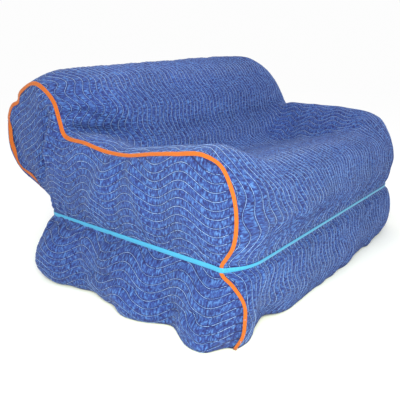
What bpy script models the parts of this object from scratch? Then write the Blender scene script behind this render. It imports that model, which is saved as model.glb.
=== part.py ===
"""Fitted cover of quilted cloth with a back, a seat and two arms, bound at its end seams and strapped round.

The cover is hollow and open below. Lengths are metres, X runs along the seat and the front faces -Y.
"""

import math
from collections import namedtuple

import bmesh
import bpy
import numpy as np

WIDTH = 1.52
DEPTH = 1.04
WALL = 0.0042
SEAM_GAP = 0.0014
ROW_PITCH = 0.050
COLUMN_PITCH = 0.062
END_COLUMNS = (0.0, 0.016, 0.040, 0.075, 0.120)
QUILT_RAISE = 0.0026
WAVE_REACH = 0.022
WAVE_COUNT = 6
WAIST_LOW = 0.248
WAIST_HIGH = 0.272
TAPE_WIDTH = 0.020
TAPE_THICK = 0.0016
TAPE_BODY_SHARE = 0.34
TAPE_TIGHTER = 0.004
TAPE_WIDER = 0.004
TAPE_ROLLED = 0.20
TAPE_STEP = 0.0015
STRAP_WIDTH = 0.017
STRAP_THICK = 0.0020
REST_GAP = 0.0005
TAPE_GAP = 0.0013
FRONT_SKEW = 0.036
BACK_RISE = 0.096
BACK_SKEW = 0.030
BACK_SHARE = 0.80

# Stations round the cover from the front hem, over the top, to the rear hem.
# near, middle and far are (depth, height) at the two end seams and between them.
# reach is how far in from a seam the middle shape begins, arm is 1 where an arm lifts the cloth,
# and tuck moves the seam inwards, round the rear corner.
Station = namedtuple("Station", "near middle far reach arm tuck")
STATIONS = (
    Station((0.000, 0.000), (0.006, 0.000), (0.055, 0.000), 0.15, 0, 0.000),
    Station((-0.030, 0.060), (-0.016, 0.060), (0.036, 0.060), 0.15, 0, 0.000),
    Station((-0.036, 0.112), (-0.024, 0.112), (0.024, 0.112), 0.15, 0, 0.000),
    Station((-0.030, 0.175), (-0.014, 0.175), (0.026, 0.175), 0.15, 0, 0.000),
    Station((0.016, 0.222), (0.000, 0.222), (0.044, 0.222), 0.15, 0, 0.000),
    Station((0.056, WAIST_LOW), (0.014, WAIST_LOW), (0.066, WAIST_LOW), 0.15, 0, 0.000),
    Station((0.056, WAIST_HIGH), (0.014, WAIST_HIGH), (0.066, WAIST_HIGH), 0.15, 0, 0.000),
    Station((0.038, 0.302), (0.004, 0.302), (0.058, 0.302), 0.15, 0, 0.000),
    Station((0.014, 0.345), (-0.010, 0.360), (0.054, 0.350), 0.15, 0, 0.000),
    Station((0.004, 0.437), (-0.014, 0.435), (0.052, 0.440), 0.15, 0, 0.000),
    Station((0.022, 0.522), (0.014, 0.505), (0.070, 0.530), 0.15, 0, 0.000),
    Station((0.062, 0.588), (0.060, 0.544), (0.106, 0.588), 0.34, 1, 0.000),
    Station((0.126, 0.614), (0.130, 0.556), (0.156, 0.618), 0.34, 1, 0.000),
    Station((0.247, 0.606), (0.250, 0.540), (0.264, 0.638), 0.34, 1, 0.000),
    Station((0.360, 0.592), (0.390, 0.508), (0.380, 0.646), 0.34, 1, 0.000),
    Station((0.485, 0.574), (0.500, 0.484), (0.480, 0.650), 0.34, 1, 0.000),
    Station((0.594, 0.576), (0.580, 0.476), (0.565, 0.653), 0.34, 1, 0.000),
    Station((0.711, 0.594), (0.645, 0.515), (0.640, 0.656), 0.34, 1, 0.000),
    Station((0.840, 0.612), (0.690, 0.590), (0.708, 0.664), 0.30, 0.75, 0.000),
    Station((0.866, 0.670), (0.716, 0.665), (0.742, 0.722), 0.28, 0.35, 0.000),
    Station((0.890, 0.735), (0.758, 0.755), (0.786, 0.790), 0.25, 0, 0.000),
    Station((0.950, 0.785), (0.836, 0.842), (0.856, 0.862), 0.20, 0, 0.000),
    Station((1.032, 0.811), (0.965, 0.901), (0.950, 0.905), 0.16, 0, 0.000),
    Station((1.160, 0.762), (1.120, 0.876), (1.090, 0.872), 0.16, 0, 0.000),
    Station((1.244, 0.692), (1.228, 0.785), (1.190, 0.780), 0.16, 0, 0.000),
    Station((1.282, 0.599), (1.302, 0.650), (1.240, 0.660), 0.15, 0, 0.000),
    Station((1.280, 0.490), (1.296, 0.500), (1.220, 0.500), 0.15, 0, 0.006),
    Station((1.256, 0.412), (1.264, 0.415), (1.170, 0.420), 0.15, 0, 0.030),
    Station((1.190, 0.352), (1.196, 0.352), (1.090, 0.352), 0.15, 0, 0.060),
    Station((1.112, 0.306), (1.116, 0.306), (1.044, 0.306), 0.15, 0, 0.074),
    Station((1.062, WAIST_HIGH), (1.060, WAIST_HIGH), (1.020, WAIST_HIGH), 0.15, 0, 0.076),
    Station((1.062, WAIST_LOW), (1.060, WAIST_LOW), (1.020, WAIST_LOW), 0.15, 0, 0.076),
    Station((1.082, 0.222), (1.078, 0.222), (1.036, 0.222), 0.15, 0, 0.076),
    Station((1.108, 0.175), (1.100, 0.175), (1.056, 0.175), 0.15, 0, 0.074),
    Station((1.116, 0.112), (1.112, 0.112), (1.066, 0.112), 0.15, 0, 0.070),
    Station((1.102, 0.056), (1.100, 0.056), (1.056, 0.056), 0.15, 0, 0.060),
    Station((1.074, 0.000), (1.072, 0.000), (1.034, 0.000), 0.15, 0, 0.050),
)
FRONT_LOW, FRONT_HIGH, REAR_HIGH, REAR_LOW = 5, 6, 30, 31
BACK_FIRST, BACK_LAST = 18, 26
SHOULDER_ROWS = 8

# Side hem of the near end: depth from the front and how far the cloth flares out.
HEM_FLARE = (
    (0.000, 0.000),
    (0.050, 0.070),
    (0.100, 0.092),
    (0.200, 0.064),
    (0.276, 0.052),
    (0.371, 0.094),
    (0.560, 0.086),
    (0.713, 0.088),
    (0.897, 0.124),
    (1.074, 0.020),
)

# Folds, each a soft ridge, or a trough where rise is negative, along a line.
# Places are (distance from the near seam, depth, height).
Fold = namedtuple("Fold", "start end reach rise")
BODY_FOLDS = (
    Fold((0.15, -0.02, 0.08), (0.20, 0.00, 0.00), 0.080, -0.042),
    Fold((0.10, 0.02, 0.52), (0.42, -0.01, 0.37), 0.040, 0.012),
    Fold((0.33, 0.00, 0.46), (0.30, 0.00, 0.34), 0.028, -0.012),
    Fold((0.62, 0.00, 0.40), (0.80, 0.00, 0.30), 0.030, -0.008),
    Fold((1.10, 0.00, 0.44), (1.30, 0.01, 0.32), 0.034, 0.008),
    Fold((0.20, 0.64, 0.60), (0.05, 0.80, 0.66), 0.034, -0.016),
    Fold((0.10, 0.74, 0.60), (0.24, 0.70, 0.70), 0.030, 0.010),
    Fold((0.50, 0.68, 0.60), (1.35, 0.68, 0.66), 0.034, -0.010),
    Fold((1.10, 0.36, 0.50), (1.45, 0.20, 0.58), 0.040, -0.014),
    Fold((1.22, 0.50, 0.52), (1.36, 0.62, 0.62), 0.034, -0.012),
    Fold((0.78, -0.01, 0.08), (0.84, -0.01, 0.00), 0.130, 0.018),
    Fold((0.86, -0.02, 0.20), (0.80, 0.00, 0.02), 0.045, -0.008),
    Fold((1.26, -0.02, 0.22), (1.18, 0.02, 0.02), 0.040, 0.010),
    Fold((0.30, 1.24, 0.70), (0.42, 1.12, 0.40), 0.045, -0.010),
    Fold((0.95, 1.24, 0.66), (0.85, 1.10, 0.38), 0.050, 0.010),
    Fold((0.60, 1.04, 0.20), (0.56, 1.02, 0.02), 0.045, 0.010),
    Fold((1.10, 1.04, 0.20), (1.16, 1.02, 0.02), 0.045, -0.010),
)
END_FOLDS = (
    Fold((0.0, 0.930, 0.690), (0.0, 1.010, 0.500), 0.046, -0.022),
    Fold((0.0, 1.000, 0.500), (0.0, 1.040, 0.400), 0.040, -0.014),
    Fold((0.0, 0.980, 0.700), (0.0, 1.130, 0.560), 0.070, -0.010),
    Fold((0.0, 1.080, 0.380), (0.0, 1.000, 0.300), 0.050, 0.024),
    Fold((0.0, 0.430, 0.540), (0.0, 0.360, 0.290), 0.026, 0.014),
    Fold((0.0, 0.480, 0.550), (0.0, 0.560, 0.300), 0.026, -0.012),
    Fold((0.0, 0.540, 0.550), (0.0, 0.700, 0.310), 0.028, 0.012),
    Fold((0.0, 0.600, 0.550), (0.0, 0.840, 0.400), 0.034, -0.010),
    Fold((0.0, 0.330, 0.480), (0.0, 0.270, 0.330), 0.030, -0.008),
    Fold((0.0, 0.120, 0.520), (0.0, 0.130, 0.330), 0.080, 0.012),
    Fold((0.0, 0.110, 0.210), (0.0, 0.160, 0.060), 0.040, 0.016),
    Fold((0.0, 0.300, 0.200), (0.0, 0.250, 0.020), 0.045, -0.018),
    Fold((0.0, 0.560, 0.210), (0.0, 0.440, 0.040), 0.050, 0.014),
    Fold((0.0, 0.760, 0.200), (0.0, 0.660, 0.020), 0.050, -0.014),
    Fold((0.0, 0.900, 0.180), (0.0, 0.950, 0.080), 0.070, 0.036),
)
ARM_BULGE = 0.034
SKIRT_BULGE = 0.050

QUILT_BLUE = (0.093, 0.156, 0.417, 1.0)
TAPE_ORANGE = (0.863, 0.201, 0.017, 1.0)
STRAP_BLUE = (0.056, 0.474, 0.750, 1.0)


def clear_scene():
    for thing in list(bpy.data.objects):
        bpy.data.objects.remove(thing, do_unlink=True)


def smooth_step(value):
    value = np.clip(value, 0.0, 1.0)
    return value * value * (3.0 - 2.0 * value)


def ease_out(value):
    return 1.0 - (1.0 - np.clip(value, 0.0, 1.0)) ** 2.4


def spline(knots, values, places):
    """Cubic curve through values at knots, read at places."""
    step = np.diff(knots)
    slope = np.diff(values, axis=0) / step[:, None]
    tangent = np.empty_like(values)
    tangent[0], tangent[-1] = slope[0], slope[-1]
    share = (step[:-1] / (step[:-1] + step[1:]))[:, None]
    tangent[1:-1] = slope[:-1] * (1.0 - share) + slope[1:] * share
    cell = np.clip(np.searchsorted(knots, places, side="right") - 1, 0, len(step) - 1)
    length = step[cell][:, None]
    part = ((places - knots[cell]) / step[cell])[:, None]
    square, cube = part**2, part**3
    return (
        values[cell] * (2 * cube - 3 * square + 1)
        + tangent[cell] * length * (cube - 2 * square + part)
        + values[cell + 1] * (3 * square - 2 * cube)
        + tangent[cell + 1] * length * (cube - square)
    )


NEAR = np.array([station.near for station in STATIONS])
MIDDLE = np.array([station.middle for station in STATIONS])
FAR = np.array([station.far for station in STATIONS])
REACH = np.array([station.reach for station in STATIONS])
ARM = np.array([station.arm for station in STATIONS], float)
TUCK = np.array([station.tuck for station in STATIONS])
FRONT_FADE = smooth_step(np.linspace(4.0, 0.0, REAR_HIGH // 2))
MEAN_STEPS = np.linalg.norm(np.diff((NEAR + MIDDLE) / 2.0, axis=0), axis=1)
KNOTS = np.concatenate([[0.0], np.cumsum(MEAN_STEPS)])


def section(across):
    """Station points (x, y, z) of the body panel at one distance from the near seam."""
    from_far = WIDTH - across
    seam = NEAR if across < from_far else FAR
    inward = min(across, from_far)
    rounding = ease_out(inward / REACH)
    over_arm = smooth_step((inward - 0.07) / 0.27)
    share = ((1.0 - ARM) * rounding + ARM * over_arm)[:, None]
    middle = MIDDLE.copy()
    lean = np.zeros(len(STATIONS))
    back_rows = BACK_LAST - BACK_FIRST + 1
    lean[BACK_FIRST : BACK_LAST + 1] = np.sin(np.linspace(0.15, math.pi - 0.15, back_rows))
    off_centre = across / WIDTH - 0.5
    middle[:, 1] += lean * BACK_RISE * off_centre
    middle[:, 0] += lean * BACK_SKEW * off_centre
    middle[: len(FRONT_FADE), 0] += FRONT_SKEW * off_centre * FRONT_FADE
    points = seam + (middle - seam) * share
    crown = 0.016 * ease_out(inward / 0.08) * (1.0 - over_arm)
    points[:, 1] += ARM * crown
    sides = np.full(len(STATIONS), across)
    sides += TUCK * (1.0 - smooth_step(across / 0.35))
    sides -= TUCK * (1.0 - smooth_step(from_far / 0.35))
    return np.column_stack([sides, points])


def row_places():
    """Spline places of the panel's rows, with rows on both edges of the strap's band."""
    pinned = KNOTS[[0, FRONT_LOW, FRONT_HIGH, REAR_HIGH, REAR_LOW, -1]]
    places, marks = [pinned[0]], [0]
    for start, end in zip(pinned[:-1], pinned[1:]):
        count = 1 if end - start < ROW_PITCH else 2 * round((end - start) / ROW_PITCH / 2)
        places.extend(np.linspace(start, end, count + 1)[1:])
        marks.append(len(places) - 1)
    return np.array(places), marks


def column_places():
    """Distances from the near seam, closer together over the rounded ends."""
    last = END_COLUMNS[-1]
    count = 2 * math.ceil((WIDTH - 2 * last) / COLUMN_PITCH / 2)
    middle = np.linspace(last, WIDTH - last, count + 1)[1:-1]
    return np.concatenate([END_COLUMNS, middle, WIDTH - np.array(END_COLUMNS[::-1])])


def fold_height(points, folds):
    """How far the folds lift the cloth at each point."""
    height = np.zeros(points.shape[:-1])
    for fold in folds:
        start, end = np.array(fold.start), np.array(fold.end)
        line = end - start
        part = np.clip((points - start) @ line / (line @ line), 0.0, 1.0)
        away = np.linalg.norm(points - start - part[..., None] * line, axis=-1)
        height += fold.rise * np.exp(-((away / fold.reach) ** 2))
    return height


def normals_of(grid):
    """Unit normals of a grid of points, rows first."""
    down = np.gradient(grid, axis=0)
    along = np.gradient(grid, axis=1)
    cross = np.cross(along, down)
    return cross / np.linalg.norm(cross, axis=-1, keepdims=True)


def quilt_height(rows, columns, first_row):
    """Every second row is a sewn line and stays low, and the rows between puff up."""
    raised = (np.arange(rows) + first_row) % 2
    return QUILT_RAISE * raised[:, None] * np.ones(columns)


def body_grid(places):
    """Outer points of the body panel before folds, its rows waved as the sewn lines are."""
    pinned = KNOTS[[0, FRONT_LOW, FRONT_HIGH, REAR_HIGH, REAR_LOW, -1]]
    freedom = smooth_step(np.min(np.abs(places[:, None] - pinned), axis=1) / 0.10)
    columns = column_places()
    grid = np.empty((len(places), len(columns), 3))
    for i, across in enumerate(columns):
        wave = WAVE_REACH * math.sin(2.0 * math.pi * WAVE_COUNT * across / WIDTH)
        grid[:, i] = spline(KNOTS, section(across), places + wave * freedom)
    return grid


def sheet_object(name, outer, inner, kept, material):
    """Closed cloth sheet between an outer grid and an inner one that keeps some of its columns."""
    mesh = bmesh.new()
    outside = [[mesh.verts.new(point) for point in row] for row in outer]
    inside = [{c: mesh.verts.new(row[c]) for c in kept} for row in inner]
    rows, columns = len(outside), len(outside[0])
    for r in range(rows - 1):
        for c in range(columns - 1):
            mesh.faces.new((outside[r][c], outside[r][c + 1], outside[r + 1][c + 1], outside[r + 1][c]))
        for c, d in zip(kept[:-1], kept[1:]):
            mesh.faces.new((inside[r][c], inside[r + 1][c], inside[r + 1][d], inside[r][d]))
        for c in (0, columns - 1):
            mesh.faces.new((outside[r][c], outside[r + 1][c], inside[r + 1][c], inside[r][c]))
    for r in (0, rows - 1):
        for c, d in zip(kept[:-1], kept[1:]):
            mesh.faces.new(outside[r][c : d + 1] + [inside[r][d], inside[r][c]])
    bmesh.ops.recalc_face_normals(mesh, faces=mesh.faces)
    return finished(name, mesh, material)


def finished(name, mesh, material):
    data = bpy.data.meshes.new(name)
    mesh.to_mesh(data)
    mesh.free()
    data.shade_smooth()
    data.materials.append(material)
    made = bpy.data.objects.new(name, data)
    cover.objects.link(made)
    return made


def cloth_material(name, colour, roughness):
    material = bpy.data.materials.new(name)
    material.use_nodes = True
    shader = material.node_tree.nodes["Principled BSDF"]
    shader.inputs["Base Color"].default_value = colour
    shader.inputs["Roughness"].default_value = roughness
    shader.inputs["Metallic"].default_value = 0.0
    material.diffuse_color = colour
    return material


def unit(vectors):
    return vectors / np.linalg.norm(vectors, axis=-1, keepdims=True)


def waist_calm(rows, marks):
    """0 on the rows beside the strap and 1 from three rows away."""
    away = [np.abs(np.arange(rows) - mark) for mark in marks]
    return smooth_step(np.min(away, axis=0) / 3.0)[:, None]


def body_panel(grid, marks, material):
    """The panel that runs from the front hem over the seat and back to the rear hem."""
    rows, columns = grid.shape[:2]
    from_end = np.minimum(np.arange(columns), np.arange(columns)[::-1])[None, :]
    mask = waist_calm(rows, marks[1:5]) * smooth_step((from_end - 1.0) / 3.0)
    grid = grid + normals_of(grid) * (fold_height(grid, BODY_FOLDS) * mask)[..., None]
    normal = normals_of(grid)
    raised = quilt_height(rows, columns, 0) * smooth_step(from_end / 2.0)
    raised[marks[1] : marks[2] + 1] = 0.0
    raised[marks[3] : marks[4] + 1] = 0.0
    outer = grid + normal * raised[..., None]
    ends = len(END_COLUMNS) - 1
    kept = [*range(ends), *range(ends, columns - ends, 2), *range(columns - ends, columns)]
    return sheet_object("body_panel", outer, grid - normal * WALL, kept, material), outer


def inset_seam(seam):
    """Seam line of an end panel, tucked under the body panel's edge."""
    ahead = unit(np.diff(seam, axis=0))
    before, after = np.vstack([ahead[:1], ahead]), np.vstack([ahead, ahead[-1:]])
    along = unit(before + after)
    miter = np.maximum(np.sum(along * after, axis=1, keepdims=True), 0.6)
    inward = unit(np.column_stack([np.zeros(len(seam)), along[:, 2], -along[:, 1]]))
    return seam + inward * (WALL + SEAM_GAP) / miter


def coons(bottom, top, left, right):
    """Smooth grid between four edge lines, rows from bottom to top."""
    across = np.linspace(0.0, 1.0, len(bottom))[None, :, None]
    up = np.linspace(0.0, 1.0, len(left))[:, None, None]
    grid = (1 - up) * bottom[None] + up * top[None]
    grid = grid + (1 - across) * left[:, None] + across * right[:, None]
    grid = grid - (1 - up) * ((1 - across) * bottom[0] + across * bottom[-1])
    return grid - up * ((1 - across) * top[0] + across * top[-1])


def dome(grid, across_power, up_power):
    """1 in the middle of the grid and 0 on its outline."""
    up = np.linspace(0.0, 1.0, grid.shape[0])[:, None]
    across = np.linspace(0.0, 1.0, grid.shape[1])[None, :]
    return (4.0 * across * (1 - across)) ** across_power * (4.0 * up * (1 - up)) ** up_power


def end_grid(seam, marks, outward):
    """Outer points of an end panel inside its seam line, in rows from the hem up."""
    hem_front, low_front, high_front, high_rear, low_rear, hem_rear = marks
    top = seam[high_front + SHOULDER_ROWS : high_rear - SHOULDER_ROWS + 1]
    count = len(top)
    back_foot = NEAR[BACK_FIRST, 0] if outward < 0 else FAR[BACK_FIRST, 0]
    junction = np.argmax(top[:, 1] > back_foot - 0.02)
    knots = np.array([0.0, junction, count - 1.0])
    share = spline(knots, np.array([[0.0], [BACK_SHARE], [1.0]]), np.arange(count, dtype=float))
    waists = []
    for front, rear in ((low_front, low_rear), (high_front, high_rear)):
        waist = seam[front] + (seam[rear] - seam[front]) * share
        turn = smooth_step((share[:, 0] - 0.87) / 0.13) ** 2
        waist[:, 0] = seam[front, 0] + (seam[rear, 0] - seam[front, 0]) * turn
        waists.append(waist)
    hem = seam[hem_front] + (seam[hem_rear] - seam[hem_front]) * share
    depths, flares = np.array(HEM_FLARE).T
    ends_still = smooth_step(share[:, 0] / 0.05) * smooth_step((1.0 - share[:, 0]) / 0.08)
    hem[:, 0] += outward * spline(depths, flares[:, None], hem[:, 1])[:, 0] * ends_still
    lower = coons(hem, waists[0], seam[hem_front : low_front + 1], seam[low_rear : hem_rear + 1][::-1])
    left = seam[high_front : high_front + SHOULDER_ROWS + 1]
    right = seam[high_rear - SHOULDER_ROWS : high_rear + 1][::-1]
    upper = coons(waists[1], top, left, right)
    lower[..., 0] += outward * SKIRT_BULGE * dome(lower, 0.9, 0.7)
    upper[..., 0] += outward * ARM_BULGE * dome(upper, 0.5, 0.8)
    return np.concatenate([lower, upper])


def end_panel(name, seam, marks, outward, material):
    """The panel that closes one end of the cover, from the hem to the seam."""
    grid = end_grid(inset_seam(seam), marks, outward)
    rows, columns = grid.shape[:2]
    waist = marks[1]
    flat = grid.copy()
    flat[..., 0] = 0.0
    from_end = np.minimum(np.arange(columns), np.arange(columns)[::-1])[None, :]
    from_top = np.arange(rows)[::-1][:, None]
    inside = smooth_step(np.minimum(from_end, 2 * from_top) / 4.0)
    mask = waist_calm(rows, (waist, waist + 1)) * inside
    grid[..., 0] += outward * fold_height(flat, END_FOLDS) * mask
    normal = normals_of(grid)
    normal *= np.sign(outward * normal[rows // 2, columns // 2, 0])
    raised = quilt_height(rows, columns, 0) * inside
    raised[waist : waist + 2] = 0.0
    outer = grid + normal * raised[..., None]
    return sheet_object(name, outer, grid - normal * WALL, list(range(columns)), material), outer


def ring_of(grid):
    """The grid's left, top and right edges as one line, in the seam's order."""
    return np.concatenate([grid[:-1, 0], grid[-1], grid[:-1, -1][::-1]])


def lifts_of(along, inward, normal):
    """Directions off the cloth beside a seam, square to the seam and to the cloth's edge."""
    lift = unit(np.cross(along, inward))
    return lift * np.sign(np.sum(lift * normal, axis=1, keepdims=True))


def twist_beside(edge, step_in, lift):
    """How far the cloth's triangles beside a seam stand off a straight strip."""
    corners = np.diff(step_in - edge, axis=0)
    twist = 0.25 * np.abs(np.sum(corners * (lift[1:] + lift[:-1]) / 2.0, axis=1))
    return np.maximum(np.append(twist, 0.0), np.append(0.0, twist))[:, None]


def tape_reaches(seam):
    """How far the tape reaches on the body panel and on the end panel, beside each seam point.

    It is drawn tight up the front, and rolled round towards the end at the rear.
    """
    front = 1.0 - smooth_step((seam[:, 1:2] - 0.08) / 0.12)
    rear = smooth_step((seam[:, 1:2] - 1.04) / 0.10)
    width = TAPE_WIDTH - TAPE_TIGHTER * front + TAPE_WIDER * rear
    on_body = width * (TAPE_BODY_SHARE - TAPE_ROLLED * rear)
    return on_body, width - on_body - WALL - SEAM_GAP


def binding(name, body, column, neighbour, end, outward, material):
    """Tape along a seam: folded over it at the left end, flat on the end panel at the right."""
    seam, edge = body[:, column], ring_of(end)
    step_in = end.copy()
    step_in[:, 0], step_in[:, -1] = end[:, 1], end[:, -2]
    step_in[-1, 1:-1] = end[-2, 1:-1]
    step_in[-1, 0], step_in[-1, -1] = end[-2, 1], end[-2, -2]
    along = unit(np.gradient(seam, axis=0))
    over = unit(body[:, neighbour] - seam)
    under = unit(ring_of(step_in) - edge)
    under = unit(under - along * np.sum(under * along, axis=1, keepdims=True))
    end_normal = normals_of(end)
    end_normal *= np.sign(outward * end_normal[len(end) // 2, end.shape[1] // 2, 0])
    body_lift = lifts_of(along, over, normals_of(body)[:, column])
    end_lift = lifts_of(along, under, ring_of(end_normal))
    corner = unit(body_lift + end_lift)
    spread = 1.0 / np.maximum(np.sum(corner * body_lift, axis=1, keepdims=True), 0.5)
    body_reach, end_reach = tape_reaches(seam)
    body_gap = TAPE_GAP + twist_beside(seam, body[:, neighbour], body_lift)
    end_gap = TAPE_GAP + twist_beside(edge, ring_of(step_in), end_lift)
    corner_gap = np.maximum(body_gap, end_gap)
    rings = []
    for thick in (0.0, TAPE_THICK):
        if outward < 0.0:
            rings.append(seam + over * body_reach + body_lift * (body_gap + thick))
            rings.append(seam + corner * (corner_gap + thick) * spread)
        else:
            rings.append(edge + under * TAPE_STEP + end_lift * (end_gap + thick))
            rings.append(edge + under * end_reach / 2.0 + end_lift * (end_gap + thick))
        rings.append(edge + under * end_reach + end_lift * (end_gap + thick))
    frames = np.stack(rings[:3] + rings[3:][::-1], axis=1)
    return band_object(name, frames, material, closed=False), frames


def band_object(name, frames, material, closed):
    """Band through a row of cross-sections, each a ring of points."""
    mesh = bmesh.new()
    rings = [[mesh.verts.new(point) for point in ring] for ring in frames]
    pairs = list(zip(rings[:-1], rings[1:]))
    if closed:
        pairs.append((rings[-1], rings[0]))
    else:
        mesh.faces.new(rings[0])
        mesh.faces.new(rings[-1])
    for first, second in pairs:
        for i in range(len(first)):
            j = (i + 1) % len(first)
            mesh.faces.new((first[i], first[j], second[j], second[i]))
    bmesh.ops.recalc_face_normals(mesh, faces=mesh.faces)
    return finished(name, mesh, material)


def outward_miters(path):
    """Plan normals at the corners of a closed path that runs round the cover."""
    ahead = unit(np.roll(path, -1, axis=0) - path)
    behind = np.roll(ahead, 1, axis=0)
    facing = np.column_stack([ahead[:, 1], -ahead[:, 0]])
    turned = np.column_stack([behind[:, 1], -behind[:, 0]])
    normal = unit(facing + turned)
    return normal / np.maximum(np.sum(normal * facing, axis=1, keepdims=True), 0.6)


def waist_strap(body, near, far, near_tape, far_tape, marks, material):
    """Strap pulled tight round the waist, over both bindings."""
    low, high, rear = marks[1], marks[2], marks[3]
    front_line = body[low : high + 1].mean(axis=0)[2:]
    rear_line = body[rear : marks[4] + 1].mean(axis=0)[2:]
    far_line = far[low : low + 2].mean(axis=0)[2:-2]
    near_line = near[low : low + 2].mean(axis=0)[2:-2]
    corners = []
    crossings = ((far_tape, low, -1), (far_tape, rear, 1), (near_tape, rear, -1), (near_tape, low, 1))
    for tape, first, order in crossings:
        pair = tape[first : first + 2, 3:, :2]
        away = np.linalg.norm(pair - (WIDTH / 2.0, DEPTH / 2.0), axis=2)
        outside = np.where((away[0] > away[1])[:, None], pair[0], pair[1])
        corners.append(outside if order > 0 else outside[::-1])
    pieces = [front_line, corners[0], far_line, corners[1]]
    pieces += [rear_line[::-1], corners[2], near_line[::-1], corners[3]]
    path = np.concatenate([piece[:, :2] for piece in pieces])
    over_tape = np.concatenate([np.full(len(piece), len(piece) == 3) for piece in pieces])
    miters = outward_miters(path)
    inner = path + miters * (REST_GAP + over_tape[:, None] * 0.0006)
    outer = inner + miters * STRAP_THICK
    middle = (WAIST_LOW + WAIST_HIGH) / 2.0
    frames = np.empty((len(path), 4, 3))
    for i, (line, side) in enumerate(((inner, -1), (inner, 1), (outer, 1), (outer, -1))):
        frames[:, i, :2] = line
        frames[:, i, 2] = middle + side * STRAP_WIDTH / 2.0
    return band_object("strap", frames, material, closed=True)


def centre_on_floor(objects):
    """Moves the whole cover so that its box stands centred on the origin."""
    points = np.array([vertex.co for thing in objects for vertex in thing.data.vertices])
    low, high = points.min(axis=0), points.max(axis=0)
    shift = -(low + high) / 2.0
    shift[2] = -low[2]
    for thing in objects:
        for vertex in thing.data.vertices:
            vertex.co = [a + b for a, b in zip(vertex.co, shift)]
    return shift


clear_scene()
cover = bpy.data.collections.new("quilted_cover")
bpy.context.scene.collection.children.link(cover)
quilted = cloth_material("quilted_cloth", QUILT_BLUE, 0.90)
tape_cloth = cloth_material("binding_tape", TAPE_ORANGE, 0.75)
strap_web = cloth_material("strap_webbing", STRAP_BLUE, 0.65)

row_line, row_marks = row_places()
body, body_outer = body_panel(body_grid(row_line), row_marks, quilted)
made, tapes, ends = [body], [], []
for label, column, neighbour, outward in (("left", 0, 1, -1.0), ("right", -1, -2, 1.0)):
    seam_line = body_outer[:, column]
    panel, panel_outer = end_panel("end_panel_" + label, seam_line, row_marks, outward, quilted)
    tape, tape_frames = binding(
        "binding_" + label, body_outer, column, neighbour, panel_outer, outward, tape_cloth
    )
    made += [panel, tape]
    tapes.append(tape_frames)
    ends.append(panel_outer)
made.append(waist_strap(body_outer, ends[0], ends[1], tapes[0], tapes[1], row_marks, strap_web))
moved = centre_on_floor(made)
print("cover moved by", [round(float(step), 5) for step in moved])
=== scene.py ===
import math
from collections import namedtuple

import bpy
import numpy as np
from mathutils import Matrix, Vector


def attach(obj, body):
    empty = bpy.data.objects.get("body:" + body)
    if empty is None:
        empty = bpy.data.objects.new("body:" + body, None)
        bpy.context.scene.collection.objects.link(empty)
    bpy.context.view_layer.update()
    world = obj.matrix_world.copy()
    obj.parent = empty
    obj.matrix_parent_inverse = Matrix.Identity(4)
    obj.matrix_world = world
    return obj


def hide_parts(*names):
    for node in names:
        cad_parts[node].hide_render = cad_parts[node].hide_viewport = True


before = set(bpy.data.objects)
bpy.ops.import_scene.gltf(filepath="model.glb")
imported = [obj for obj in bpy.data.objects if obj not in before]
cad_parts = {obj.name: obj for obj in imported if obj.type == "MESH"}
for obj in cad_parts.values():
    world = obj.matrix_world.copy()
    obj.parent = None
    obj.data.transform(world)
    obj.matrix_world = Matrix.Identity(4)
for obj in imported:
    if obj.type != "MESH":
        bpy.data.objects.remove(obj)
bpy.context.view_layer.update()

# The cover's own sizes in metres, as the solids have them. Its tables count x from the near end seam,
# y backwards from the front and z up, and place carries that corner into the frame.
cover = {
    "width": 1.52,
    "wall": 0.0042,
    "seamGap": 0.0014,
    "waistLow": 0.248,
    "waistHigh": 0.272,
    "frontSkew": 0.036,
    "backRise": 0.096,
    "backSkew": 0.030,
    "backShare": 0.80,
    "armBulge": 0.034,
    "skirtBulge": 0.050,
    "place": (-0.76029, -0.63585, 0.00581),
}

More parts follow.
